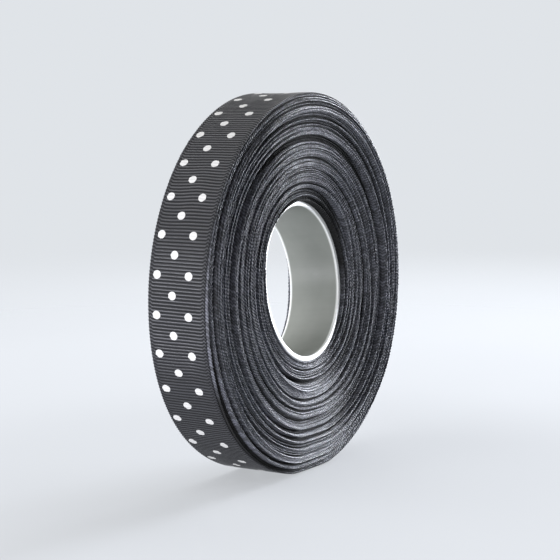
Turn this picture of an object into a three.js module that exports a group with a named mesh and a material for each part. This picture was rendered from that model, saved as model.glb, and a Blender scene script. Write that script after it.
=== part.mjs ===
import * as THREE from "three";

// A roll of grosgrain ribbon wound on a plastic core, standing on its edge.
// Millimetres, +Z up. The roll's axis runs along Y and its front face looks to -Y.
// The origin lies on the surface the roll stands on, under the middle of the ribbon's width.

// Driving sizes of the wound ribbon
const ROLL_RADIUS = 48;
const RIBBON_WIDTH = 16;
const RIBBON_THICKNESS = 0.26;
const SELVEDGE_CHAMFER = 0.25;
const OUTER_TURN_DEPTH = 0.03; // share of the winding over which the outer turn's step fades out
const AXIS_HEIGHT = 47.4; // lower than the roll's radius, which leaves the small flat spot

// The core, which sits a little askew in the roll
const CORE_RADIUS = 20.3;
const CORE_WALL = 1.2;
const CORE_LENGTH = 14.5;
const CORE_SETBACK = 0.8; // the middle of the core lies this far behind the middle of the ribbon
const CORE_PITCH = THREE.MathUtils.degToRad(-6.4); // the top of its front rim leans back
const CORE_YAW = THREE.MathUtils.degToRad(2.5); // and its right side too
const CORE_RIM_ROUNDING = 0.25;
const PIECE_GAP = 0.3;

// The short tape over the ribbon's cut end
const TAPE_LENGTH = 17;
const TAPE_WIDTH = 15;
const TAPE_THICKNESS = 0.4;
const TAPE_OVERHANG = 1.2; // its top corner stands this far in front of the ribbon's edge
const TAPE_START_ANGLE = THREE.MathUtils.degToRad(138.5);
const TAPE_SKEW = 0.085; // sideways run for each millimetre of its length

// Angles go round the roll from its left side (-X) over the top to its right side
const CUT_END_ANGLE = THREE.MathUtils.degToRad(146.25);
const ROLL_STEPS = 96;
const CORE_STEPS = 72;
const RIM_STEPS = 4;
const TAPE_STEPS = 8;

// How far each band of turns has slipped towards the rear, from the outer turn (depth 0)
// to the core (depth 1)
const BANDS = [
  { depth: 0.015, shift: 0.0 },
  { depth: 0.035, shift: -0.6 },
  { depth: 0.1, shift: -0.8 },
  { depth: 0.115, shift: -0.4 },
  { depth: 0.13, shift: -0.9 },
  { depth: 0.17, shift: -0.8 },
  { depth: 0.185, shift: 0.2 },
  { depth: 0.225, shift: 0.1 },
  { depth: 0.24, shift: -0.6 },
  { depth: 0.34, shift: -0.5 },
  { depth: 0.355, shift: 0.4 },
  { depth: 0.405, shift: 0.5 },
  { depth: 0.42, shift: -0.4 },
  { depth: 0.49, shift: -0.5 },
  { depth: 0.505, shift: 0.2 },
  { depth: 0.54, shift: 0.2 },
  { depth: 0.555, shift: -0.4 },
  { depth: 0.67, shift: -0.3 },
  { depth: 0.685, shift: 0.6 },
  { depth: 0.715, shift: 0.6 },
  { depth: 0.73, shift: -0.2 },
  { depth: 0.82, shift: -0.1 },
  { depth: 0.835, shift: 1.0 },
  { depth: 0.875, shift: 0.9 },
  { depth: 0.89, shift: 0.5 },
  { depth: 1.0, shift: 0.9 },
];

const BLACK_RIBBON = { color: 0x17181c, roughness: 0.75, metalness: 0 };
const WHITE_PLASTIC = { color: 0xdfe2dc, roughness: 0.35, metalness: 0 };
const CLEAR_TAPE = { color: 0xb9c1bd, roughness: 0.15, metalness: 0, transparent: true, opacity: 0.45 };

const boreRadius = CORE_RADIUS + PIECE_GAP;
const coreTurn = new THREE.Matrix4().makeRotationFromEuler(new THREE.Euler(CORE_PITCH, 0, CORE_YAW));
const coreCentre = new THREE.Vector3(0, CORE_SETBACK, AXIS_HEIGHT);

// Distance from the roll's axis at a depth in the winding. The outer turn gains one ribbon
// thickness on its way round to the cut end, and what stands on the surface is pressed flat.
function windingRadius(depth, angle) {
  const turnsToEnd = THREE.MathUtils.euclideanModulo((CUT_END_ANGLE - angle) / (2 * Math.PI), 1);
  const outerShare = 1 - THREE.MathUtils.smoothstep(depth, 0, OUTER_TURN_DEPTH);
  const outline = ROLL_RADIUS - RIBBON_THICKNESS * turnsToEnd * outerShare;
  const down = -Math.sin(angle);
  const pressed = down > 0 ? Math.min(outline, AXIS_HEIGHT / down) : outline;
  return THREE.MathUtils.lerp(pressed, boreRadius, depth);
}

// Share of the core's lean that the turns at this depth follow
function leanShare(depth) {
  return THREE.MathUtils.smoothstep(depth, 0.2, 0.88) ** 2;
}

// The slow unevenness of the wound face round the roll
function wave(depth, angle) {
  const fade = THREE.MathUtils.smoothstep(depth, 0.01, 0.12);
  return fade * (0.16 * Math.sin(2 * angle + 7 * depth) + 0.1 * Math.sin(5 * angle - 11 * depth));
}

// A point of the wound ribbon: depth in the winding, place across the ribbon, angle round the roll
function woundPoint(depth, across, angle) {
  const radius = windingRadius(depth, angle);
  const place = across + wave(depth, angle);
  const x = -radius * Math.cos(angle);
  const z = radius * Math.sin(angle);
  const straight = new THREE.Vector3(x, place, z + AXIS_HEIGHT);
  const leaning = new THREE.Vector3(x, place - CORE_SETBACK, z).applyMatrix4(coreTurn).add(coreCentre);
  return straight.lerp(leaning, leanShare(depth));
}

// Closes rows of points, each a closed loop, into a ring or, with end caps, into a bar
function loopSolid(rows, isRing) {
  const count = rows[0].length;
  const positions = rows.flat().flatMap((point) => [point.x, point.y, point.z]);
  const index = [];
  const spans = isRing ? rows.length : rows.length - 1;
  for (let row = 0; row < spans; row += 1) {
    const here = row * count;
    const next = ((row + 1) % rows.length) * count;
    for (let k = 0; k < count; k += 1) {
      const after = (k + 1) % count;
      index.push(here + k, next + after, next + k);
      index.push(here + k, here + after, next + after);
    }
  }
  if (!isRing) {
    const last = (rows.length - 1) * count;
    for (let k = 1; k < count - 1; k += 1) {
      index.push(0, k + 1, k);
      index.push(last, last + k, last + k + 1);
    }
  }
  const geometry = new THREE.BufferGeometry();
  geometry.setAttribute("position", new THREE.Float32BufferAttribute(positions, 3));
  geometry.setIndex(index);
  geometry.computeVertexNormals();
  return geometry;
}

function ribbonRoll() {
  const half = RIBBON_WIDTH / 2;
  const chamferDepth = SELVEDGE_CHAMFER / (ROLL_RADIUS - boreRadius);
  const section = [
    { depth: 0, across: half - SELVEDGE_CHAMFER },
    { depth: 0, across: -half + SELVEDGE_CHAMFER },
    { depth: chamferDepth, across: -half },
    ...BANDS.map(({ depth, shift }) => ({ depth, across: shift - half })),
    ...BANDS.toReversed().map(({ depth, shift }) => ({ depth, across: shift + half })),
    { depth: chamferDepth, across: half },
  ];
  const angles = Array.from({ length: ROLL_STEPS }, (_, step) => (2 * Math.PI * step) / ROLL_STEPS);
  angles.push(CUT_END_ANGLE + 0.003);
  angles.sort((a, b) => a - b);
  const rows = angles.map((angle) => section.map(({ depth, across }) => woundPoint(depth, across, angle)));
  return loopSolid(rows, true);
}

function coreTube() {
  const inner = CORE_RADIUS - CORE_WALL;
  const end = CORE_LENGTH / 2;
  const profile = [];
  const corners = [
    { radius: inner + CORE_RIM_ROUNDING, along: -end + CORE_RIM_ROUNDING, from: Math.PI },
    { radius: CORE_RADIUS - CORE_RIM_ROUNDING, along: -end + CORE_RIM_ROUNDING, from: 1.5 * Math.PI },
    { radius: CORE_RADIUS - CORE_RIM_ROUNDING, along: end - CORE_RIM_ROUNDING, from: 0 },
    { radius: inner + CORE_RIM_ROUNDING, along: end - CORE_RIM_ROUNDING, from: 0.5 * Math.PI },
  ];
  for (const { radius, along, from } of corners) {
    for (let step = 0; step <= RIM_STEPS; step += 1) {
      const turn = from + (0.5 * Math.PI * step) / RIM_STEPS;
      const r = radius + CORE_RIM_ROUNDING * Math.cos(turn);
      profile.push(new THREE.Vector2(r, along + CORE_RIM_ROUNDING * Math.sin(turn)));
    }
  }
  profile.push(profile[0].clone());
  return new THREE.LatheGeometry(profile, CORE_STEPS);
}

function endTape() {
  const inside = ROLL_RADIUS + PIECE_GAP;
  const outside = inside + TAPE_THICKNESS;
  const rows = [];
  for (let step = 0; step <= TAPE_STEPS; step += 1) {
    const run = (TAPE_LENGTH * step) / TAPE_STEPS;
    const angle = TAPE_START_ANGLE + run / ROLL_RADIUS;
    const front = -RIBBON_WIDTH / 2 - TAPE_OVERHANG + TAPE_SKEW * run;
    const corner = (radius, y) =>
      new THREE.Vector3(-radius * Math.cos(angle), y, AXIS_HEIGHT + radius * Math.sin(angle));
    rows.push([
      corner(outside, front + TAPE_WIDTH),
      corner(outside, front),
      corner(inside, front),
      corner(inside, front + TAPE_WIDTH),
    ]);
  }
  return loopSolid(rows, false);
}

function piece(name, geometry, look) {
  const mesh = new THREE.Mesh(geometry, new THREE.MeshStandardMaterial(look));
  mesh.name = name;
  return mesh;
}

const roll = new THREE.Group();
roll.add(piece("ribbon_roll", ribbonRoll(), BLACK_RIBBON));

const core = piece("core", coreTube(), WHITE_PLASTIC);
core.position.copy(coreCentre);
core.rotation.set(CORE_PITCH, 0, CORE_YAW);
roll.add(core);

roll.add(piece("end_tape", endTape(), CLEAR_TAPE));

export default roll;
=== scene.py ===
"""A roll of black grosgrain ribbon with white dots, wound on a white plastic core and standing
on its edge. It is laid out as an add-on and run as a script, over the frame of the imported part."""

import math
from functools import partial

import bpy
import numpy as np
from bpy.props import FloatProperty, FloatVectorProperty, IntProperty, PointerProperty
from bpy.types import Operator, Panel, PropertyGroup
from mathutils import Euler, Matrix, Vector


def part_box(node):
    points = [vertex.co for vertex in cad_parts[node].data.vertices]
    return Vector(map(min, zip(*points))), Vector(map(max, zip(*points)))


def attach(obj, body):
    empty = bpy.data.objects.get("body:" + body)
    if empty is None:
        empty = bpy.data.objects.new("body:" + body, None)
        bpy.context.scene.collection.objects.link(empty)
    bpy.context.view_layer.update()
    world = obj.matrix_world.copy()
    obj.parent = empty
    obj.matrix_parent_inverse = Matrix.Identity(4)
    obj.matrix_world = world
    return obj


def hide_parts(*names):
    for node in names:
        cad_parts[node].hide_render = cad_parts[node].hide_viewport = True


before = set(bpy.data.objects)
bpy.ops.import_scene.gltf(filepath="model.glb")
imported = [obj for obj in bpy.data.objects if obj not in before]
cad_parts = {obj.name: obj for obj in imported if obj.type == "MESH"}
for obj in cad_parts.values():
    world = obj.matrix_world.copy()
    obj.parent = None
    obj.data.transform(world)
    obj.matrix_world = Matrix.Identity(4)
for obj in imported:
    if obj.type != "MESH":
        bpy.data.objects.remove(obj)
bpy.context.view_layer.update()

bl_info = {
    "name": "Ribbon Roll",
    "version": (1, 0, 0),
    "blender": (4, 5, 0),
    "location": "View3D > Sidebar > Ribbon",
    "description": "Winds a roll of printed grosgrain ribbon on its core",
    "category": "Add Mesh",
}

MM = 0.001

# What the frame gives: the core's middle is the roll's axis, moved back a little
core_low, core_high = (Vector(corner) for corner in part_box("core"))
CORE_MIDDLE = (core_low + core_high) / 2
AXIS_HEIGHT = CORE_MIDDLE.z
CORE_SETBACK = CORE_MIDDLE.y

# How far each band of turns stands in front of the ribbon's nominal edge, in millimetres, at eight
# places round the roll, 45 degrees apart from the left over the top. first is the band's first turn.
BAND_COLUMNS = (
    "first", "left", "upper left", "top", "upper right", "right", "lower right", "bottom", "lower left"
)
BANDS = (
    (0, 0.2, 0.35, 0.3, 0.4, 0.8, 1.6, 0.9, -0.5),
    (1, 0.9, 0.1, 0.4, 0.8, 1.0, 1.9, 0.9, 0.3),
    (5, 1.3, 0.1, 0.7, 1.1, 1.2, 1.8, 1.4, 1.8),
    (18, 0.3, -0.6, 0.3, 0.7, 0.9, 2.3, 1.8, 1.0),
    (31, 0.5, -0.4, 0.2, 1.2, 1.9, 2.5, 2.0, 1.4),
    (39, 0.4, -0.9, -0.1, 0.3, 0.9, 2.0, 1.7, 1.3),
    (44, 1.4, 0.5, 0.3, 0.3, 1.0, 1.6, 1.9, 2.0),
    (54, 1.2, -0.4, 0.1, 0.4, 1.3, 2.6, 2.2, 1.8),
    (61, 1.1, 0.0, -0.2, -0.4, 0.6, 1.8, 1.8, 2.1),
    (67, 1.2, -0.3, -0.5, -0.5, 0.2, 1.2, 1.8, 2.3),
    (73, 0.9, -0.5, -0.7, -0.6, 0.1, 1.5, 1.9, 2.0),
    (82, 0.3, -0.8, -0.9, -0.3, 0.0, 1.3, 1.5, 1.0),
    (92, -0.1, -1.1, -1.6, -1.7, -0.8, 0.5, 0.8, 0.4),
    (100, -0.1, -1.6, -2.5, -2.5, -1.7, -0.3, 0.7, 0.7),
)

BAND_SLIDE = 0.45  # turns over which one band passes into the next

# Grooves that run the whole way round, as (first turn, turns wide, depth, place). Depth is in millimetres
# at the deepest place, given in degrees round the roll. The groove is shallower a quarter of the way on.
GROOVES = (
    (2, 1, 0.5, 60),
    (8, 3, 0.9, 150),
    (14, 1, 0.5, 20),
    (25, 2, 0.8, 15),
    (34, 1, 0.5, 110),
    (39, 4, 1.1, 30),
    (47, 1, 0.5, 90),
    (51, 3, 1.0, 190),
    (60, 2, 0.9, 170),
    (65, 1, 0.6, 40),
    (70, 2, 0.8, 140),
    (78, 1, 0.5, 60),
    (86, 3, 1.1, 135),
    (96, 2, 0.7, 180),
)
GROOVE_SIDE = 0.3  # turns over which a groove's side slopes
GROOVE_DEPTHS = (0.75, 0.25)  # its usual share of the depth, and how much that changes round the roll

# How unevenly the ribbon is wound, as (millimetres, changes in each turn)
SLOW_SLIP = (0.14, 1.15)
QUICK_SLIP = (0.02, 4.7)
STRETCH = (1.2, 1.7)
UNEVEN_FROM = (0.97, 1.25)  # turns over which that begins, because the outer turn lies straight
INNER_FROM = 1.3  # count of turns that is well inside the outer turn

# Stretches of a few turns that have slid out of line: one starts at each step, in turns
STRAY_STEP = 0.85
STRAY_REACH = (45, 125)  # degrees either side of its middle
STRAY_FADE = 0.55  # share of that reach from which it fades out
STRAY_LAYERS = (1, 1, 1, 2, 2, 3)
STRAY_SIDES = (-1, -1, 1)  # to the rear, or to the front
STRAY_SLIDE = (0.2, 0.6)  # millimetres

# Neighbours that a turn's level is measured from, as (turns away, share)
NEIGHBOURS = (
    ((-2, -1, 1, 2), 0.7),
    ((-8, -5, 5, 8), 0.9),
)

# The roll's outline, in millimetres and degrees
FOOT_ROUNDING = 0.2  # how softly the flat spot runs into the round
FLARE = 0.35  # how far the front edge of the outer turns lifts near the top
FLARE_PLACE = (95, 30)  # degrees round the roll, and how far it reaches
FLARE_DEPTH = 0.08  # share of the winding that lifts
LEAN_FROM = 0.6  # share of the winding, from the outside, at which the turns begin to follow the core

# One turn's woven edge, in millimetres
BEAD_HEIGHT = 0.1
BEAD_UNEVEN = 0.045
BEAD_SLANT = 0.16
VALLEY_THICKNESS = 0.66  # share of the thickness left between two ribs

# How far a turn reaches either side of its middle, as a share of what it adds to the roll
INNER_FILL = 0.49
OUTER_FILL = 0.46

# Places where the outer turn's ribs bend a little, as (along, across, reach, bend) in millimetres
RIB_BENDS = (
    (93, -1, 7, 0.35),
    (101, 4, 5, -0.2),
    (62, 2, 8, 0.2),
    (140, -3, 9, 0.25),
    (230, 0, 8, -0.3),
)

# Points across the outer turn's face, in millimetres from its middle, closer together in the selvedge
OUTER_FACE = (7.8, 7.6, 7.4, 7.2, 7.0, 6.8, 6.6, 5.5, 4.0, 2.4, 0.8)

# Rounded edges of the ribbon as (inset in millimetres, outwards), finer for the turns that show most
FINE_EDGE = ((0.2, 1.0), (0.05, 0.8), (0.0, 0.0), (0.05, -0.8), (0.2, -1.0))
PLAIN_EDGE = ((0.11, 1.0), (0.0, 0.0), (0.11, -1.0))

# The wound turns as (piece, first turn, last turn, rows of points to a rib, edge). None is the core.
WOUND_PIECES = (
    ("turns_outer", 1.0, 7.0, 4, FINE_EDGE),
    ("turns_upper", 7.0, 28.0, 2, PLAIN_EDGE),
    ("turns_middle", 28.0, 53.0, 2, PLAIN_EDGE),
    ("turns_lower", 53.0, 80.0, 2, PLAIN_EDGE),
    ("turns_inner", 80.0, None, 2, PLAIN_EDGE),
)

RIM_ROUNDING = 0.28 * MM
WALL_INSETS = (0.5, 0.8, 1.2, 2.5)  # rings of points on the core's wall, in millimetres from each end

# The point the camera looks at, a little to the left of the roll's middle
CAMERA_AIM = (-3.9 * MM, -1.9 * MM, AXIS_HEIGHT + 1.2 * MM)

# Soft boxes as (name, place, size, watts, colour), all turned to the roll's middle
COOL = (0.9, 0.93, 1.0)
WHITE = (1.0, 1.0, 1.0)
LAMPS = (
    ("left_box", (-0.2, 0.075, 0.015), (0.14, 0.02), 0.44, (0.93, 0.94, 1.0)),
    ("high_box", (-0.4, 0.35, 0.7), (0.8, 0.8), 8.0, WHITE),
    ("side_box", (-0.75, -0.1, 0.1), (0.12, 0.12), 1.3, WHITE),
    ("front_box", (0.9, -0.15, 0.2), (0.45, 0.45), 16.0, COOL),
    ("low_box", (0.68, -0.42, 0.08), (0.2, 0.14), 10.0, COOL),
    ("upper_box", (0.95, -0.12, 0.42), (0.3, 0.3), 13.0, COOL),
    ("top_box", (0.5, 0.1, 0.7), (0.6, 0.6), 5.0, WHITE),
)


LengthProperty = partial(FloatProperty, unit="LENGTH")
AngleProperty = partial(FloatProperty, subtype="ANGLE")
ColourProperty = partial(FloatVectorProperty, size=3, subtype="COLOR", min=0, max=1)


class RibbonSizes(PropertyGroup):
    """Sizes of the ribbon and of the roll it makes"""

    roll_radius: LengthProperty(
        name="Roll radius", description="Radius over the outer turn", default=48 * MM
    )
    width: LengthProperty(name="Ribbon width", description="From selvedge to selvedge", default=16 * MM)
    thickness: LengthProperty(
        name="Thickness", description="What one turn adds to the roll", default=0.26 * MM
    )
    rib_pitch: LengthProperty(
        name="Rib pitch", description="From one cross rib to the next", default=0.835 * MM
    )
    rib_height: LengthProperty(name="Rib height", description="From valley to crest", default=0.125 * MM)
    selvedge: LengthProperty(name="Selvedge", description="Width of the woven edge", default=1.25 * MM)
    cut_end: AngleProperty(
        name="Cut end", description="Where the outer turn ends, from the left over the top",
        default=math.radians(146.25),
    )
    seed: IntProperty(name="Winding seed", description="Picks the uneven winding", default=7)


class PrintSizes(PropertyGroup):
    """The printed dots: pairs, with a single dot between each pair and the next"""

    diameter: LengthProperty(name="Dot diameter", description="Size of a printed dot", default=2.04 * MM)
    pitch: LengthProperty(name="Pair pitch", description="From one pair to the next", default=9.51 * MM)
    start: LengthProperty(
        name="First pair", description="From the cut end to the first pair", default=1.77 * MM
    )
    spread: LengthProperty(
        name="Spread", description="From the single dots to either row of pairs", default=4.31 * MM
    )
    off_centre: LengthProperty(
        name="Off centre", description="How far the print sits towards the rear", default=1.35 * MM
    )


class CoreSizes(PropertyGroup):
    """Sizes of the plastic core and how it leans in the roll"""

    radius: LengthProperty(name="Core radius", description="Outer radius of the tube", default=20.3 * MM)
    wall: LengthProperty(name="Wall", description="Wall of the tube", default=1.2 * MM)
    length: LengthProperty(name="Length", description="Length of the tube", default=14.5 * MM)
    pitch: AngleProperty(
        name="Lean back", description="The top of the front rim leans back", default=math.radians(-6.4)
    )
    yaw: AngleProperty(
        name="Lean right", description="The right side of the front rim leans back",
        default=math.radians(2.5),
    )


class TapeSizes(PropertyGroup):
    """Sizes of the short clear tape over the cut end"""

    length: LengthProperty(name="Length", description="Round the roll", default=17 * MM)
    width: LengthProperty(name="Width", description="Across the ribbon", default=15 * MM)
    film: LengthProperty(name="Film", description="Thickness of the film", default=0.07 * MM)
    overhang: LengthProperty(
        name="Overhang", description="How far its top corner stands in front of the ribbon",
        default=0.35 * MM,
    )
    start: AngleProperty(
        name="Start", description="Where its upper end lies", default=math.radians(138.5)
    )
    skew: FloatProperty(name="Skew", description="Sideways run for each unit of length", default=0.085)


class RollColours(PropertyGroup):
    """Colours of the ribbon, the core and the stage"""

    ribbon: ColourProperty(
        name="Ribbon", description="Black polyester yarn", default=(0.016, 0.0165, 0.02)
    )
    dots: ColourProperty(name="Dots", description="White print", default=(0.53, 0.525, 0.52))
    core_wall: ColourProperty(
        name="Core wall", description="White plastic with the black ribbon behind it",
        default=(0.235, 0.245, 0.225),
    )
    core_rim: ColourProperty(
        name="Core rim", description="White plastic at the cut rims", default=(0.93, 0.94, 0.93)
    )
    floor: ColourProperty(name="Floor", description="Pale surface", default=(0.155, 0.16, 0.167))
    backdrop: ColourProperty(name="Backdrop", description="Pale backdrop", default=(0.745, 0.775, 0.81))


class StageSizes(PropertyGroup):
    """Camera and lights"""

    azimuth: AngleProperty(
        name="Azimuth", description="Where the camera stands round the roll",
        default=math.radians(-59.03),
    )
    elevation: AngleProperty(
        name="Elevation", description="How far the camera looks down", default=math.radians(6.73)
    )
    distance: LengthProperty(
        name="Distance", description="From the camera to the roll", default=446.2 * MM
    )
    lens: FloatProperty(name="Lens", description="Focal length", default=113.8, subtype="DISTANCE_CAMERA")
    fill: FloatProperty(
        name="Fill", description="Light from all round, beside the soft boxes", default=0.11
    )
    floor_radius: LengthProperty(
        name="Floor radius", description="Where the floor has faded out", default=0.62
    )


GROUPS = {
    "roll_ribbon": RibbonSizes,
    "roll_print": PrintSizes,
    "roll_core": CoreSizes,
    "roll_tape": TapeSizes,
    "roll_colours": RollColours,
    "roll_stage": StageSizes,
}


def smoothstep(low, high, value):
    share = np.clip((value - low) / (high - low), 0, 1)
    return share * share * (3 - 2 * share)


def wrapped(angle):
    return np.arctan2(np.sin(angle), np.cos(angle))


def hump(angle, place, reach):
    """1 at that place round the roll, in degrees, and less the further off it is."""
    return np.exp(-((np.degrees(wrapped(angle)) - place) / reach) ** 2)


def smooth_random(place, seed):
    """Smooth random values from -1 to 1, one for each whole number along place."""
    values = np.random.RandomState(seed).uniform(-1, 1, int(np.max(place)) + 3)
    first = np.floor(place).astype(int)
    share = smoothstep(0, 1, place - first)
    return values[first] * (1 - share) + values[first + 1] * share


class Winding:
    """Where the ribbon lies. turns counts from the cut end inwards, across from the middle of its width."""

    def __init__(self, scene):
        ribbon = scene.roll_ribbon
        core = scene.roll_core
        self.radius = ribbon.roll_radius
        self.width = ribbon.width
        self.thickness = ribbon.thickness
        self.rib_pitch = ribbon.rib_pitch
        self.cut_end = ribbon.cut_end
        self.seed = ribbon.seed
        self.core_radius = core.radius
        self.count = (ribbon.roll_radius - core.radius - 0.3 * MM) / ribbon.thickness
        self.lean = np.array(Euler((core.pitch, 0, core.yaw)).to_matrix())

    def angle(self, turns):
        """Angle round the roll, from its left side over the top."""
        return self.cut_end - 2 * np.pi * turns

    def arc(self, turns):
        """Length of ribbon from the cut end."""
        return 2 * np.pi * (self.radius * turns - self.thickness * turns * turns / 2)

    def turns_at(self, arc):
        """Turns made over that length of ribbon, the other way round."""
        return (self.radius - np.sqrt(self.radius ** 2 - self.thickness * arc / np.pi)) / self.thickness

    def depth(self, radius):
        return (self.radius - radius) / (self.radius - self.core_radius)

    def proud(self, turns):
        """How far the band at that count of turns stands in front of the nominal edge."""
        table = np.array(BANDS)
        places = len(BAND_COLUMNS) - 1
        column = np.mod(self.angle(turns) / (2 * np.pi), 1) * places
        here = np.floor(column).astype(int)
        share = column - here
        band = np.searchsorted(table[:, 0], turns, side="right") - 1
        slide = smoothstep(0, BAND_SLIDE, turns - table[band, 0])
        heights = 0
        weights = (  # of a smooth curve through the four nearest places
            -0.5 * share + share ** 2 - 0.5 * share ** 3,
            1 - 2.5 * share ** 2 + 1.5 * share ** 3,
            0.5 * share + 2 * share ** 2 - 1.5 * share ** 3,
            -0.5 * share ** 2 + 0.5 * share ** 3,
        )
        for step, weight in zip((-1, 0, 1, 2), weights):
            at = 1 + np.mod(here + step, places)
            before = table[np.maximum(band - 1, 0), at]
            heights = heights + weight * (before * (1 - slide) + table[band, at] * slide)
        return heights * MM

    def strays(self, turns):
        """Stretches of one to three turns that have slipped forwards or back over part of the way round."""
        random = np.random.RandomState(self.seed + 9)
        angle = self.angle(turns)
        moved = 0
        for first in np.arange(INNER_FROM, self.count, STRAY_STEP):
            middle = random.uniform(-np.pi, np.pi)
            reach = np.radians(random.uniform(*STRAY_REACH))
            layers = random.choice(STRAY_LAYERS)
            slide = random.choice(STRAY_SIDES) * random.uniform(*STRAY_SLIDE)
            off = wrapped(angle - middle)
            passing = turns + off / (2 * np.pi)
            held = (passing >= first) & (passing < first + layers)
            moved = moved + slide * held * (1 - smoothstep(STRAY_FADE * reach, reach, np.abs(off)))
        return moved * MM

    def grooves(self, turns):
        """How far the turns in the grooves stand back."""
        usual, changing = GROOVE_DEPTHS
        depth = 0
        for first, layers, deepest, place in GROOVES:
            last = first + layers
            near_side = smoothstep(first, first + GROOVE_SIDE, turns)
            far_side = smoothstep(last + GROOVE_SIDE, last, turns)
            round_roll = usual + changing * np.cos(2 * (self.angle(turns) - np.radians(place)))
            depth = depth + deepest * near_side * far_side * round_roll
        return depth * MM

    def uneven(self, turns, size, rate, seed):
        """Smooth random lengths along the ribbon."""
        return size * MM * smooth_random(rate * turns, self.seed + seed) * smoothstep(*UNEVEN_FROM, turns)

    def slip(self, turns):
        """How far the ribbon has slipped to the rear. No turn lies quite level with the next."""
        uneven = self.uneven(turns, *SLOW_SLIP, seed=0) + self.uneven(turns, *QUICK_SLIP, seed=1)
        return uneven + self.grooves(turns) - self.proud(turns) - self.strays(turns)

    def level(self, turns):
        """How far the front edge stands in front of the next turns and of those a little further off."""
        own = self.slip(turns)
        level = 0
        for steps, share in NEIGHBOURS:
            others = (self.slip(np.clip(turns + step, INNER_FROM, self.count)) for step in steps)
            level = level + share * (sum(others) / len(steps) - own)
        return level

    def stretch(self, turns):
        """Uneven tension, which keeps the ribs of one turn from lining up with the next."""
        return self.uneven(turns, *STRETCH, seed=5)

    def pressed(self, radius, angle):
        """That radius in the winding once the roll's weight has pressed the foot flat."""
        down = np.maximum(-np.sin(angle), 1e-2)
        clear = AXIS_HEIGHT / down - self.radius
        outline = self.radius + 0.5 * (clear - np.sqrt(clear ** 2 + (FOOT_ROUNDING * MM) ** 2))
        scale = (outline - self.core_radius) / (self.radius - self.core_radius)
        return self.core_radius + (radius - self.core_radius) * scale

    def flare(self, radius, across, angle):
        """How far the front edge of the outer turns lifts near the top."""
        front = smoothstep(2 * MM, -8 * MM, across) * smoothstep(FLARE_DEPTH, 0, self.depth(radius))
        return FLARE * MM * hump(angle, *FLARE_PLACE) * front

    def place(self, radius, across, angle):
        """A point at that radius in the winding, across the ribbon, with the core's lean followed."""
        out = self.pressed(radius, angle) + self.flare(radius, across, angle)
        share = smoothstep(LEAN_FROM, 1, self.depth(radius))
        off = (across - CORE_SETBACK) * share
        x = self.lean[0, 1] / self.lean[1, 1] * off - out * np.cos(angle)
        z = self.lean[2, 1] / self.lean[1, 1] * off + out * np.sin(angle)
        return np.stack([x, across + 0 * x, z + AXIS_HEIGHT], axis=-1)


def grid_piece(name, points, loop=True, capped=True, **maps):
    """A mesh from rows of points. Its maps hold (along, across) in millimetres."""
    rows, columns = points.shape[:2]
    index = np.arange(rows * columns).reshape(rows, columns)
    width = columns if loop else columns - 1
    here = index[:-1, :width]
    after = np.roll(index, -1, axis=1)[:-1, :width]
    quads = np.stack([here, index[1:, :width], np.roll(index, -1, axis=1)[1:, :width], after], axis=-1)
    quads = quads.reshape(-1, 4)
    corners = quads.reshape(-1)
    starts = np.arange(len(quads)) * 4
    sizes = np.full(len(quads), 4)
    if capped:
        ends = [index[0], index[-1][::-1]]
        corners = np.concatenate([corners, *ends])
        starts = np.concatenate([starts, [len(quads) * 4, len(quads) * 4 + columns]])
        sizes = np.concatenate([sizes, [columns, columns]])
    mesh = bpy.data.meshes.new(name)
    mesh.vertices.add(rows * columns)
    mesh.vertices.foreach_set("co", points.reshape(-1))
    mesh.loops.add(len(corners))
    mesh.loops.foreach_set("vertex_index", corners.astype(np.int32))
    mesh.polygons.add(len(starts))
    mesh.polygons.foreach_set("loop_start", starts.astype(np.int32))
    mesh.polygons.foreach_set("loop_total", sizes.astype(np.int32))
    mesh.update(calc_edges=True)
    for label, coordinates in maps.items():
        layer = mesh.uv_layers.new(name=label)
        layer.data.foreach_set("uv", coordinates.reshape(-1, 2)[corners].reshape(-1).astype(np.float32))
    mesh.shade_smooth()
    piece = bpy.data.objects.new(name, mesh)
    bpy.context.collection.objects.link(piece)
    return piece


def finish_piece(piece, material, slot, *nodes):
    piece.data.materials.append(material)
    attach(piece, "root")
    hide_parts(*nodes)


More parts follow.
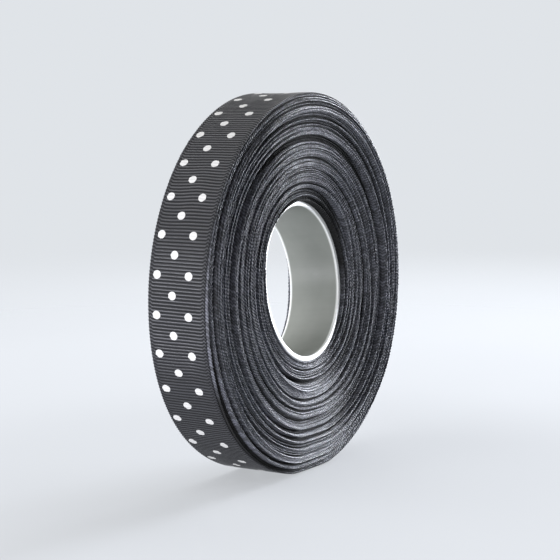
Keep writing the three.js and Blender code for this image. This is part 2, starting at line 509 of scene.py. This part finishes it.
class Nodes:
    """Places nodes in a tree in a few words."""

    def __init__(self, tree):
        self.tree = tree

    def add(self, kind, **settings):
        node = self.tree.nodes.new(kind)
        for name, value in settings.items():
            setattr(node, name, value)
        return node

    def feed(self, socket, value):
        if isinstance(value, bpy.types.NodeSocket):
            self.tree.links.new(value, socket)
        else:
            socket.default_value = value

    def feed_named(self, node, **values):
        """Feeds the inputs of those names, written with _ for a space, and hands back the outputs."""
        for name, value in values.items():
            self.feed(node.inputs[name.replace("_", " ")], value)
        return node.outputs

    def math(self, operation, *values, clamp=False):
        node = self.add("ShaderNodeMath", operation=operation, use_clamp=clamp)
        for socket, value in zip(node.inputs, values):
            self.feed(socket, value)
        return node.outputs[0]

    def ramp(self, value, low, high, to_low=0.0, to_high=1.0):
        node = self.add("ShaderNodeMapRange", interpolation_type="SMOOTHSTEP")
        ends = {"From_Min": low, "From_Max": high, "To_Min": to_low, "To_Max": to_high}
        return self.feed_named(node, Value=value, **ends)[0]

    def mix(self, share, first, second):
        node = self.add("ShaderNodeMix", data_type="RGBA")
        self.feed(node.inputs[0], share)
        self.feed(node.inputs[6], first)
        self.feed(node.inputs[7], second)
        return node.outputs[2]

    def noise(self, vector, scale, detail=2.0, roughness=0.5, dimensions="3D"):
        node = self.add("ShaderNodeTexNoise", noise_dimensions=dimensions)
        return self.feed_named(node, Vector=vector, Scale=scale, Detail=detail, Roughness=roughness)["Fac"]

    def vector(self, x, y, z=0.0):
        node = self.add("ShaderNodeCombineXYZ")
        for socket, value in zip(node.inputs, (x, y, z)):
            self.feed(socket, value)
        return node.outputs[0]

    def bump(self, height, strength, distance, normal=None):
        node = self.add("ShaderNodeBump")
        self.feed_named(node, Height=height, Strength=strength, Distance=distance)
        if normal is not None:
            self.feed(node.inputs["Normal"], normal)
        return node.outputs[0]


def new_group(name, inputs, outputs):
    """A shader node group with named float inputs and outputs."""
    tree = bpy.data.node_groups.new(name, "ShaderNodeTree")
    for label, value in inputs.items():
        socket = tree.interface.new_socket(name=label, in_out="INPUT", socket_type="NodeSocketFloat")
        socket.default_value = value
    for label in outputs:
        tree.interface.new_socket(name=label, in_out="OUTPUT", socket_type="NodeSocketFloat")
    nodes = Nodes(tree)
    return tree, nodes, nodes.add("NodeGroupInput").outputs, nodes.add("NodeGroupOutput").inputs


def rib_group():
    """Cross ribs that turn into small chevrons in the selvedge, all lengths in millimetres."""
    tree, nodes, given, out = new_group(
        "Grosgrain ribs",
        {"Along": 0.0, "Across": 0.0, "Pitch": 0.835, "Half width": 8.0, "Selvedge": 1.25},
        ("Crest", "Selvedge", "Rib number"),
    )
    edge = nodes.math("SUBTRACT", given["Half width"], nodes.math("ABSOLUTE", given["Across"]))
    into = nodes.math(
        "DIVIDE", nodes.math("SUBTRACT", given["Selvedge"], edge), given["Selvedge"], clamp=True
    )
    chevron = nodes.math("PINGPONG", into, 0.5)
    place = nodes.math("ADD", nodes.math("DIVIDE", given["Along"], given["Pitch"]), chevron)
    wave = nodes.math("COSINE", nodes.math("MULTIPLY", place, 2 * math.pi))
    nodes.feed(out["Crest"], nodes.math("MULTIPLY_ADD", wave, 0.5, 0.5))
    nodes.feed(out["Selvedge"], nodes.ramp(into, 0.0, 0.2))
    nodes.feed(out["Rib number"], nodes.math("ROUND", place))
    return tree


def yarn_group():
    """Fine warp yarns that run along the ribbon, and the odd fibre that strays."""
    tree, nodes, given, out = new_group(
        "Warp yarns", {"Along": 0.0, "Across": 0.0, "Spacing": 0.16}, ("Grain", "Height")
    )
    across = nodes.math("DIVIDE", given["Across"], given["Spacing"])
    along = nodes.math("MULTIPLY", given["Along"], 0.9)
    grain = nodes.noise(nodes.vector(along, across), 1.0, 3.0, 0.6, "2D")
    lines = nodes.math("COSINE", nodes.math("MULTIPLY", across, 2 * math.pi))
    nodes.feed(out["Grain"], grain)
    nodes.feed(out["Height"], nodes.math("MULTIPLY_ADD", lines, 0.5, grain))
    return tree


def dot_group():
    """Printed dots: pairs at each pitch and a single dot half way, all lengths in millimetres."""
    tree, nodes, given, out = new_group(
        "Printed dots",
        {"Along": 0.0, "Across": 0.0, "Pitch": 9.51, "Start": 1.77, "Spread": 4.31, "Off centre": 1.35,
         "Diameter": 2.04},
        ("Mask",),
    )
    along = nodes.math("SUBTRACT", given["Along"], given["Start"])
    across = nodes.math("SUBTRACT", given["Across"], given["Off centre"])

    def row(shift, side):
        here = nodes.math("ADD", along, nodes.math("MULTIPLY", given["Pitch"], 0.5 + shift))
        turn = nodes.math("SUBTRACT", nodes.math("FLOORED_MODULO", here, given["Pitch"]),
                          nodes.math("MULTIPLY", given["Pitch"], 0.5))
        off = nodes.math("SUBTRACT", across, nodes.math("MULTIPLY", given["Spread"], side))
        return nodes.math("SQRT", nodes.math("ADD", nodes.math("POWER", nodes.math("ABSOLUTE", turn), 2.0),
                                             nodes.math("POWER", nodes.math("ABSOLUTE", off), 2.0)))

    nearest = nodes.math("MINIMUM", nodes.math("MINIMUM", row(0.0, 1.0), row(0.0, -1.0)), row(0.5, 0.0))
    rough = nodes.noise(nodes.vector(given["Along"], given["Across"]), 2.6, 2.0, 0.5, "2D")
    radius = nodes.math("MULTIPLY_ADD", given["Diameter"], 0.5,
                        nodes.math("MULTIPLY", nodes.math("SUBTRACT", rough, 0.5), 0.12))
    gap = nodes.math("SUBTRACT", radius, nearest)
    nodes.feed(out["Mask"], nodes.ramp(gap, -0.03, 0.03))
    return tree


def shader(name, **constants):
    """A material with a plain Principled shader, its constants set on the shader's own sockets."""
    material = bpy.data.materials.new(name)
    material.use_nodes = True
    nodes = Nodes(material.node_tree)
    surface = material.node_tree.nodes["Principled BSDF"]
    for label, value in constants.items():
        surface.inputs[label.replace("_", " ")].default_value = value
    return material, nodes, surface.inputs


def mapped(nodes, name):
    """The two values of one of the mesh's own maps, such as along and across the ribbon in millimetres."""
    split = nodes.add("ShaderNodeSeparateXYZ")
    nodes.feed(split.inputs[0], nodes.add("ShaderNodeUVMap", uv_map=name).outputs[0])
    return split.outputs[0], split.outputs[1]


def place_group(nodes, tree, along, across, **sizes):
    """Puts a node group into a material, with its place on the ribbon and its sizes in millimetres."""
    node = nodes.add("ShaderNodeGroup", node_tree=tree)
    return nodes.feed_named(node, Along=along, Across=across, **sizes)


def rgba(colour):
    return (*colour, 1.0)


def grey(nodes, value):
    node = nodes.add("ShaderNodeCombineColor")
    for socket in node.inputs[:3]:
        nodes.feed(socket, value)
    return node.outputs[0]


def tinted(nodes, colour, share):
    """The colour times a share that changes over the surface."""
    node = nodes.add("ShaderNodeMix", data_type="RGBA", blend_type="MULTIPLY")
    nodes.feed(node.inputs[0], 1.0)
    nodes.feed(node.inputs[6], colour)
    nodes.feed(node.inputs[7], grey(nodes, share))
    return node.outputs[2]


def shared(name, make):
    """The node group of that name, made when it is first asked for."""
    return bpy.data.node_groups.get(name) or make()


def grosgrain(scene, name, specular):
    """Starts a ribbon material: its ribs, its yarns and a random value for each rib."""
    ribbon = scene.roll_ribbon
    material, nodes, surface = shader(name, Specular_IOR_Level=specular, Coat_Roughness=0.3)
    along, across = mapped(nodes, "ribbon")
    ribs = place_group(
        nodes, shared("Grosgrain ribs", rib_group), along, across, Pitch=ribbon.rib_pitch / MM,
        Half_width=ribbon.width / MM / 2, Selvedge=ribbon.selvedge / MM,
    )
    yarns = place_group(nodes, shared("Warp yarns", yarn_group), along, across)
    each = nodes.add("ShaderNodeTexWhiteNoise", noise_dimensions="1D")
    nodes.feed(each.inputs["W"], ribs["Rib number"])
    return material, nodes, surface, ribs, yarns, each.outputs["Value"]


def black_yarn(scene, nodes, yarns, *shares):
    """The ribbon's black, made lighter and darker by the yarns' grain and by the shares given, which carry
    painted light, painted shade and a random tone.
    """
    shade = nodes.ramp(yarns["Grain"], 0.25, 0.75, 0.75, 1.25)
    for share in shares:
        shade = nodes.math("MULTIPLY", shade, share)
    return tinted(nodes, rgba(scene.roll_colours.ribbon), shade)


def ink_mask(scene, nodes):
    """Where the outer turn's printed dots lie."""
    dots = scene.roll_print
    along, across = mapped(nodes, "print")
    printed = place_group(
        nodes, shared("Printed dots", dot_group), along, across, Pitch=dots.pitch / MM,
        Start=dots.start / MM, Spread=dots.spread / MM, Off_centre=dots.off_centre / MM,
        Diameter=dots.diameter / MM,
    )
    return printed["Mask"]


def outer_material(scene):
    """Black polyester grosgrain with white dots. Its ribs are modelled, and their crests shine. Its colour
    carries painted shade in the rib valleys and painted light on the crests.
    """
    material, nodes, surface, ribs, yarns, each = grosgrain(scene, "grosgrain_outer", 0.35)
    crest = ribs["Crest"]
    ink = ink_mask(scene, nodes)
    # Painted shade and painted light: the black is darker in the rib valleys and lighter on the crests;
    # each rib also gets a random tone.
    black = black_yarn(
        scene, nodes, yarns, nodes.ramp(crest, 0.1, 0.9, 0.35, 1.45), nodes.ramp(each, 0.0, 1.0, 0.88, 1.12)
    )
    # Painted shade: the dots' white is a little darker in the rib valleys.
    white = tinted(nodes, rgba(scene.roll_colours.dots), nodes.ramp(crest, 0.0, 0.7, 0.93, 1.0))
    nodes.feed(surface["Base Color"], nodes.mix(ink, black, white))
    rough = nodes.math(
        "ADD", nodes.ramp(yarns["Grain"], 0.2, 0.8, 0.3, 0.42), nodes.ramp(crest, 0.3, 0.85, 0.5, 0.0)
    )
    nodes.feed(surface["Roughness"], nodes.math("ADD", rough, nodes.math("MULTIPLY", ink, 0.2)))
    coat = nodes.math(
        "MULTIPLY", nodes.ramp(crest, 0.4, 0.95, 0.0, 0.4), nodes.ramp(ribs["Selvedge"], 0.0, 1.0, 1.0, 0.3)
    )
    nodes.feed(surface["Coat Weight"], coat)
    fine = nodes.math("MULTIPLY", yarns["Height"], nodes.math("MULTIPLY_ADD", ink, -0.6, 1.0))
    nodes.feed(surface["Normal"], nodes.bump(fine, 0.6, 0.05 * MM))
    return material


def wound_material(scene):
    """Black polyester grosgrain seen at its woven edges. Turns that stand in front of the rest are painted
    lighter, as painted light, and recessed turns darker, as painted shade; the rib valleys carry painted
    shade too.
    """
    material, nodes, surface, ribs, yarns, each = grosgrain(scene, "grosgrain_wound", 0.5)
    crest = ribs["Crest"]
    level, _ = mapped(nodes, "level")
    stands = nodes.ramp(level, -0.35, 0.35)
    # Painted light and shade: the colour is darker in the rib valleys and lighter on the crests, and much
    # lighter on turns that stand out and darker on recessed ones; the random value per rib is a real tone.
    black = black_yarn(
        scene, nodes, yarns, nodes.ramp(crest, 0.15, 0.85, 0.45, 1.1),
        nodes.ramp(stands, 0.0, 1.0, 0.12, 3.8), nodes.ramp(each, 0.1, 0.9, 0.9, 2.3),
    )
    nodes.feed(surface["Base Color"], black)
    rough = nodes.math(
        "ADD", nodes.ramp(yarns["Grain"], 0.2, 0.8, 0.4, 0.52), nodes.ramp(stands, 0.0, 0.8, 0.4, 0.0)
    )
    nodes.feed(surface["Roughness"], rough)
    where = nodes.add("ShaderNodeTexCoord").outputs["Object"]
    normal = nodes.bump(yarns["Height"], 0.6, 0.05 * MM)
    normal = nodes.bump(nodes.noise(where, 1300.0, 2.0), 0.5, 0.12 * MM, normal)
    nodes.feed(surface["Normal"], nodes.bump(crest, 0.7, 0.11 * MM, normal))
    return material


def edge_profile(half_width, half_thickness, edge):
    """Cross-section of the ribbon: (across, outwards) round its two rounded edges."""
    front = [(-half_width + inset * MM, out * half_thickness) for inset, out in edge]
    rear = [(half_width - inset * MM, -out * half_thickness) for inset, out in edge]
    return np.array(front + rear)


def wound_piece(name, winding, first, last, rows_to_rib, edge):
    """The ribbon between two counts of turns: a closed strip with a woven bead at each rib's end."""
    begin, end = (round(winding.arc(turns) / winding.rib_pitch * rows_to_rib) for turns in (first, last))
    row = np.arange(begin, end + 1)
    arc = row * winding.rib_pitch / rows_to_rib
    turns = winding.turns_at(arc)[:, None]
    crest = 0.5 + 0.5 * np.cos(2 * np.pi * row / rows_to_rib)[:, None]
    half_thickness = winding.thickness * INNER_FILL
    section = edge_profile(winding.width / 2, half_thickness, edge)
    across = section[None, :, 0]
    outwards = section[None, :, 1] * (VALLEY_THICKNESS + (1 - VALLEY_THICKNESS) * crest)
    random = np.random.RandomState(winding.seed + begin)
    uneven = random.normal(0, 1, (len(row), 2)).clip(-2, 2)
    side = np.where(across < 0, 0, 1)[0]
    proud = (BEAD_UNEVEN * uneven[:, side] - BEAD_HEIGHT * (1 - crest)) * MM
    slant = BEAD_SLANT * MM * section[None, :, 1] / half_thickness * np.sign(across)
    along = arc[:, None] + slant + winding.stretch(turns)
    radius = winding.radius - winding.thickness * (turns + 0.5) + outwards
    angle = winding.angle(winding.turns_at(along))
    place = across + np.sign(across) * proud + winding.slip(turns)
    points = winding.place(radius, place, angle)
    coordinates = np.stack([arc[:, None] + 0 * along, across + 0 * along], axis=-1) / MM
    # The level map carries how far each front edge stands out, for the painted light and painted shade of
    # the wound material.
    stands = -np.sign(across) * winding.level(turns) / MM
    return grid_piece(name, points, ribbon=coordinates, level=np.stack([stands, 0 * stands], axis=-1))


class RIBBON_OT_wound_turns(Operator):
    """Winds the ribbon's inner turns on the core"""

    bl_idname = "ribbon.wound_turns"
    bl_label = "Wound Turns"

    def execute(self, context):
        winding = Winding(context.scene)
        material = wound_material(context.scene)
        for name, first, last, rows_to_rib, edge in WOUND_PIECES:
            piece = wound_piece(name, winding, first, last or winding.count, rows_to_rib, edge)
            finish_piece(piece, material, "ribbon", "ribbon_roll")
        return {"FINISHED"}


class RIBBON_OT_outer_turn(Operator):
    """Lays the outer turn with its raised ribs, woven selvedges and printed dots"""

    bl_idname = "ribbon.outer_turn"
    bl_label = "Outer Turn"

    rows_to_rib = 6
    selvedge_ribs = 0.62  # the ribs' height in the selvedge, as a share of that on the face
    ink_fill = 0.7  # share of the ribs' relief that the ink fills
    bead_height = 0.16  # how far the selvedge draws in between two ribs, in millimetres
    print_forward = (-13, 26)  # where the print lies nearer the front, and how far that reaches, in degrees
    print_wider = (-30, 24)  # where it is wider, in the same way

    def execute(self, context):
        ribbon = context.scene.roll_ribbon
        winding = Winding(context.scene)
        rows = int(winding.arc(1) / winding.rib_pitch * self.rows_to_rib)
        turns = np.linspace(0, 1, rows)[:, None]
        section = self.section(ribbon.width / 2)
        across = section[None, :, 0]
        along = winding.arc(turns) + 0 * across
        ripple = self.ripples(along, across)
        printed = self.print_across(winding.angle(turns), across)
        into = np.clip((ribbon.selvedge - ribbon.width / 2 + np.abs(across)) / ribbon.selvedge, 0, 1)
        chevron = 0.5 - np.abs(into - 0.5)
        wave = 0.5 + 0.5 * np.cos(2 * np.pi * ((along + ripple) / winding.rib_pitch + chevron))
        height = ribbon.rib_height * np.where(into > 0, self.selvedge_ribs, 1.0)
        filled = 1 - self.ink_fill * self.inked(context.scene.roll_print, along, printed)
        relief = height * (wave - 1.0) * filled * np.clip(section[None, :, 1], 0, 1)
        outward = section[None, :, 1] * winding.thickness * OUTER_FILL
        radius = winding.radius - winding.thickness * (turns + 0.5) + outward + relief
        beads = np.where(into > 0.7, -np.sign(across) * self.bead_height * MM * (1 - wave), 0)
        place = across + winding.slip(turns + 0 * radius) + beads
        points = winding.place(radius, place, winding.angle(turns) + 0 * radius)
        weave = np.stack([along + ripple, across + 0 * radius], axis=-1) / MM
        marks = np.stack([along, printed], axis=-1) / MM
        piece = grid_piece("outer_turn", points, ribbon=weave, print=marks)
        finish_piece(piece, outer_material(context.scene), "ribbon", "ribbon_roll")
        return {"FINISHED"}

    def section(self, half):
        """The turn's cross-section as (across, outwards), with the face's points and two rounded edges."""
        face = np.array(OUTER_FACE) * MM
        face = np.concatenate([face, -face[::-1]])
        outside = np.stack([face, np.ones_like(face)], axis=1)
        rounded = edge_profile(half, 1.0, FINE_EDGE)
        return np.concatenate([outside, rounded[1:-1]])

    def print_across(self, angle, across):
        """Where the print lies. It runs wider and nearer the front where the turn faces down and left."""
        forward = 0.52 * hump(angle, *self.print_forward) - 0.14
        widened = 1.02 + 0.06 * hump(angle, *self.print_wider)
        return (across + forward * MM) / widened

    def inked(self, dots, along, across):
        """Which places lie under a dot's ink."""
        off = across - dots.off_centre
        half = dots.pitch / 2
        pair = np.mod(along - dots.start + half, dots.pitch) - half
        single = np.mod(along - dots.start, dots.pitch) - half
        nearest = np.minimum(np.hypot(pair, np.abs(off) - dots.spread), np.hypot(single, off))
        return smoothstep(0.15 * MM, -0.15 * MM, nearest - dots.diameter / 2)

    def ripples(self, along, across):
        """How far the ribs are out of true along the ribbon."""
        shift = 0.12 * MM * np.sin(along / (17 * MM)) * across / (8 * MM)
        for at, side, reach, bend in RIB_BENDS:
            off = ((along / MM - at) / reach) ** 2 + ((across / MM - side) / 3.0) ** 2
            shift = shift + bend * MM * np.exp(-off)
        return shift


class RIBBON_OT_core(Operator):
    """Makes the white plastic core that the ribbon is wound on"""

    bl_idname = "ribbon.core"
    bl_label = "Core"

    steps = 192
    out_of_round = 0.0012  # share of the radius

    def execute(self, context):
        core = context.scene.roll_core
        profile = self.profile(core)
        angle = np.linspace(0, 2 * np.pi, self.steps + 1)[:, None]
        radius = profile[None, :, 0] * (1 + self.out_of_round * np.sin(2 * angle + 0.6))
        points = np.stack(
            [radius * np.cos(angle), profile[None, :, 1] + 0 * radius, radius * np.sin(angle)], axis=-1
        )
        lean = np.array(Euler((core.pitch, 0, core.yaw)).to_matrix())
        points = points @ lean.T + np.array(CORE_MIDDLE)
        inset = (core.length / 2 - np.abs(profile[None, :, 1])) / MM + 0 * radius
        coordinates = np.stack([angle * core.radius / MM + 0 * radius, inset], axis=-1)
        piece = grid_piece("core_tube", points, capped=False, ribbon=coordinates)
        finish_piece(piece, self.plastic(context.scene), "core_plastic", "core")
        return {"FINISHED"}

    def profile(self, core):
        """The wall's cross-section as (radius, along), with rounded corners and rings near both ends."""
        inside = core.radius - core.wall
        end = core.length / 2
        rounding = end - RIM_ROUNDING
        points = self.corner(inside + RIM_ROUNDING, -rounding, 180)
        points += self.corner(core.radius - RIM_ROUNDING, -rounding, 270)
        points += self.wall(core.radius, end, -1)
        points += self.corner(core.radius - RIM_ROUNDING, rounding, 0)
        points += self.corner(inside + RIM_ROUNDING, rounding, 90)
        points += self.wall(inside, end, 1)
        return np.array(points)[::-1]

    def corner(self, radius, along, start):
        """A quarter of a circle round that point, from that direction in degrees."""
        turns = np.radians(start) + np.linspace(0, math.pi / 2, 6)
        return [(radius + RIM_ROUNDING * math.cos(turn), along + RIM_ROUNDING * math.sin(turn))
                for turn in turns]

    def wall(self, radius, end, side):
        """Points along the wall, from the end on that side to the other."""
        rings = [(radius, side * (end - inset * MM)) for inset in WALL_INSETS]
        return rings + [(radius, -along) for radius, along in reversed(rings)]

    def plastic(self, scene):
        """Smooth white plastic that looks grey where the black ribbon backs it."""
        material, nodes, surface = shader("core_plastic", Specular_IOR_Level=0.15)
        along, inset = mapped(nodes, "ribbon")
        rim = nodes.ramp(inset, 0.15, 0.9, 1.0, 0.0)
        where = nodes.add("ShaderNodeTexCoord").outputs["Object"]
        cloudy = nodes.ramp(nodes.noise(where, 90.0, 3.0, 0.55), 0.3, 0.7, 0.94, 1.06)
        lengthwise = nodes.vector(along, nodes.math("MULTIPLY", inset, 0.08))
        drawn = nodes.ramp(nodes.noise(lengthwise, 0.9), 0.3, 0.7, 0.99, 1.01)
        wall = tinted(nodes, rgba(scene.roll_colours.core_wall), nodes.math("MULTIPLY", cloudy, drawn))
        nodes.feed(surface["Base Color"], nodes.mix(rim, wall, rgba(scene.roll_colours.core_rim)))
        nodes.feed(surface["Roughness"], nodes.ramp(nodes.noise(where, 400.0, 2.0), 0.3, 0.7, 0.34, 0.44))
        nodes.feed(surface["Normal"], nodes.bump(nodes.noise(where, 260.0, 2.0), 0.15, 0.02 * MM))
        return material


class RIBBON_OT_end_tape(Operator):
    """Sticks the short clear tape over the ribbon's cut end"""

    bl_idname = "ribbon.end_tape"
    bl_label = "End Tape"

    steps = 60
    gap = 0.05 * MM  # between the film and the ribbon, and that much more at its front edge
    wrinkle = 0.012 * MM

    def execute(self, context):
        tape = context.scene.roll_tape
        winding = Winding(context.scene)
        run = np.linspace(0, tape.length, self.steps + 1)[:, None]
        angle = tape.start + run / winding.radius
        past = (angle - winding.cut_end) * winding.radius
        step = winding.thickness * smoothstep(-0.1 * MM, 1.1 * MM, past)
        out = smoothstep(-0.5 * MM, 2.5 * MM, run)
        front = -winding.width / 2 - tape.overhang * out + tape.skew * run
        across = self.columns(tape.width)
        lift = self.gap + self.gap * smoothstep(1.5 * MM, 0, across)
        wrinkled = self.wrinkle * np.sin(across * 2600) * np.sin(run * 900)
        base = winding.radius - step + lift + wrinkled
        over = np.stack([base + tape.film, front + across], axis=-1)
        under = np.stack([base, front + across], axis=-1)[:, ::-1]
        ring = np.concatenate([over, under], axis=1)
        angle = angle + 0 * ring[..., 0]
        points = winding.place(ring[..., 0], ring[..., 1], angle)
        coordinates = np.stack([run + 0 * ring[..., 0], ring[..., 1]], axis=-1) / MM
        piece = grid_piece("end_tape_film", points[:, ::-1], ribbon=coordinates[:, ::-1])
        finish_piece(piece, self.film(context.scene), "clear_tape", "end_tape")
        return {"FINISHED"}

    def columns(self, width):
        """Places across the tape, with one close to each edge so that the film shades flat."""
        middle = np.linspace(0.3 * MM, width - 0.3 * MM, 23)
        edge = np.array([0, 0.04 * MM])
        return np.concatenate([edge, middle, width - edge[::-1]])[None, :]

    def film(self, scene):
        """Clear film with faint streaks along it."""
        material, nodes, surface = shader(
            "clear_tape", Base_Color=(0.62, 0.67, 0.65, 1.0), Transmission_Weight=1.0, IOR=1.2,
            Specular_IOR_Level=0.1,
        )
        along, across = mapped(nodes, "ribbon")
        drawn = nodes.vector(nodes.math("MULTIPLY", along, 0.15), across)
        streaks = nodes.noise(drawn, 3.0, 3.0, 0.6, "2D")
        nodes.feed(surface["Roughness"], nodes.ramp(streaks, 0.3, 0.7, 0.08, 0.14))
        nodes.feed(surface["Normal"], nodes.bump(streaks, 0.25, 0.05 * MM))
        return material


def floor_material(scene):
    """Pale surface, glossy under the roll, that fades into the backdrop far from it."""
    material, nodes, surface = shader(
        "pale_floor", Specular_IOR_Level=0.0, Roughness=0.6, Coat_Roughness=0.12, Emission_Strength=3.1
    )
    where = nodes.add("ShaderNodeTexCoord").outputs["Object"]
    length = nodes.add("ShaderNodeVectorMath", operation="LENGTH")
    nodes.feed(length.inputs[0], where)
    away = length.outputs["Value"]
    reach = scene.roll_stage.floor_radius
    nodes.feed(surface["Coat Weight"], nodes.ramp(away, 0.06, 0.13, 0.16, 0.0))
    nodes.feed(surface["Alpha"], nodes.ramp(away, 0.25 * reach, 0.95 * reach, 1.0, 0.0))
    cloudy = nodes.ramp(nodes.noise(where, 6.0), 0.3, 0.7, 0.99, 1.01)
    colour = tinted(nodes, rgba(scene.roll_colours.floor), cloudy)
    nodes.feed(surface["Base Color"], colour)
    nodes.feed(surface["Emission Color"], colour)
    return material


def soft_box(name, place, size, power, colour):
    """A soft light turned to the roll's middle and itself never seen, also not through the tape."""
    light = bpy.data.lights.new(name, "AREA")
    light.shape = "RECTANGLE"
    light.size, light.size_y = size
    light.energy = power
    light.color = colour
    lamp = bpy.data.objects.new(name, light)
    lamp.location = place
    lamp.visible_camera = False
    lamp.visible_transmission = False
    middle = Vector((0, 0, AXIS_HEIGHT))
    lamp.rotation_euler = (middle - Vector(place)).to_track_quat("-Z", "Y").to_euler()
    bpy.context.collection.objects.link(lamp)
    return lamp


class RIBBON_OT_stage(Operator):
    """Sets the pale floor, the backdrop, the soft lights and the camera"""

    bl_idname = "ribbon.stage"
    bl_label = "Stage"

    def execute(self, context):
        scene = context.scene
        floor = self.floor(scene)
        self.backdrop(scene)
        self.lights(floor)
        self.camera(scene, scene.roll_stage)
        scene.view_settings.view_transform = "Standard"
        return {"FINISHED"}

    def floor(self, scene):
        reach = scene.roll_stage.floor_radius
        bpy.ops.mesh.primitive_circle_add(vertices=128, radius=reach, fill_type="NGON")
        floor = bpy.context.object
        floor.name = "pale_floor"
        floor.data.materials.append(floor_material(scene))
        return floor

    def backdrop(self, scene):
        """Pale where the camera sees it, also through the tape, and a faint fill light elsewhere."""
        world = bpy.data.worlds.new("pale_backdrop")
        world.use_nodes = True
        nodes = Nodes(world.node_tree)
        seen = world.node_tree.nodes["Background"]
        seen.inputs["Color"].default_value = rgba(scene.roll_colours.backdrop)
        fill = nodes.add("ShaderNodeBackground")
        fill.inputs["Color"].default_value = rgba(scene.roll_colours.backdrop)
        fill.inputs["Strength"].default_value = scene.roll_stage.fill
        either = nodes.add("ShaderNodeMixShader")
        path = nodes.add("ShaderNodeLightPath").outputs
        through = nodes.math("MAXIMUM", path["Is Camera Ray"], path["Is Transmission Ray"])
        nodes.feed(either.inputs[0], through)
        nodes.feed(either.inputs[1], fill.outputs[0])
        nodes.feed(either.inputs[2], seen.outputs[0])
        nodes.feed(world.node_tree.nodes["World Output"].inputs["Surface"], either.outputs[0])
        scene.world = world

    def lights(self, floor):
        """The lowest lamp stands close over the floor, so the floor is left out of its light."""
        lamps = [soft_box(*row) for row in LAMPS]
        lowest = min(lamps, key=lambda lamp: lamp.location.z)
        spared = bpy.data.collections.new("spared_floor")
        spared.objects.link(floor)
        lowest.light_linking.receiver_collection = spared
        spared.collection_objects[0].light_linking.link_state = "EXCLUDE"

    def camera(self, scene, stage):
        turn, tilt = stage.azimuth, stage.elevation
        back = Vector((math.sin(turn) * math.cos(tilt), -math.cos(turn) * math.cos(tilt), math.sin(tilt)))
        right = Vector((math.cos(turn), math.sin(turn), 0))
        up = back.cross(right)
        camera = bpy.data.objects.new("camera", bpy.data.cameras.new("camera"))
        camera.data.lens = stage.lens
        camera.data.sensor_width = 36
        camera.data.clip_start = 0.01
        place = Vector(CAMERA_AIM) + back * stage.distance
        axes = Matrix((right, up, back)).transposed().to_4x4()
        camera.matrix_world = Matrix.Translation(place) @ axes
        bpy.context.collection.objects.link(camera)
        scene.camera = camera


OPERATORS = (
    RIBBON_OT_stage,
    RIBBON_OT_wound_turns,
    RIBBON_OT_outer_turn,
    RIBBON_OT_core,
    RIBBON_OT_end_tape,
)


class RIBBON_PT_roll(Panel):
    """Lists the roll's pieces and their sizes"""

    bl_idname = "RIBBON_PT_roll"
    bl_label = "Ribbon Roll"
    bl_space_type = "VIEW_3D"
    bl_region_type = "UI"
    bl_category = "Ribbon"

    def draw(self, context):
        for operator in OPERATORS:
            self.layout.operator(operator.bl_idname)
        for name in GROUPS:
            box = self.layout.box()
            group = getattr(context.scene, name)
            for key in group.__annotations__:
                box.prop(group, key)


def register():
    for name, group in GROUPS.items():
        bpy.utils.register_class(group)
        setattr(bpy.types.Scene, name, PointerProperty(type=group))
    for operator in OPERATORS:
        bpy.utils.register_class(operator)
    bpy.utils.register_class(RIBBON_PT_roll)


def unregister():
    bpy.utils.unregister_class(RIBBON_PT_roll)
    for operator in reversed(OPERATORS):
        bpy.utils.unregister_class(operator)
    for name, group in reversed(GROUPS.items()):
        delattr(bpy.types.Scene, name)
        bpy.utils.unregister_class(group)


def main():
    register()
    bpy.ops.ribbon.stage()
    bpy.ops.ribbon.wound_turns()
    bpy.ops.ribbon.outer_turn()
    bpy.ops.ribbon.core()
    bpy.ops.ribbon.end_tape()


if __name__ == "__main__":
    main()
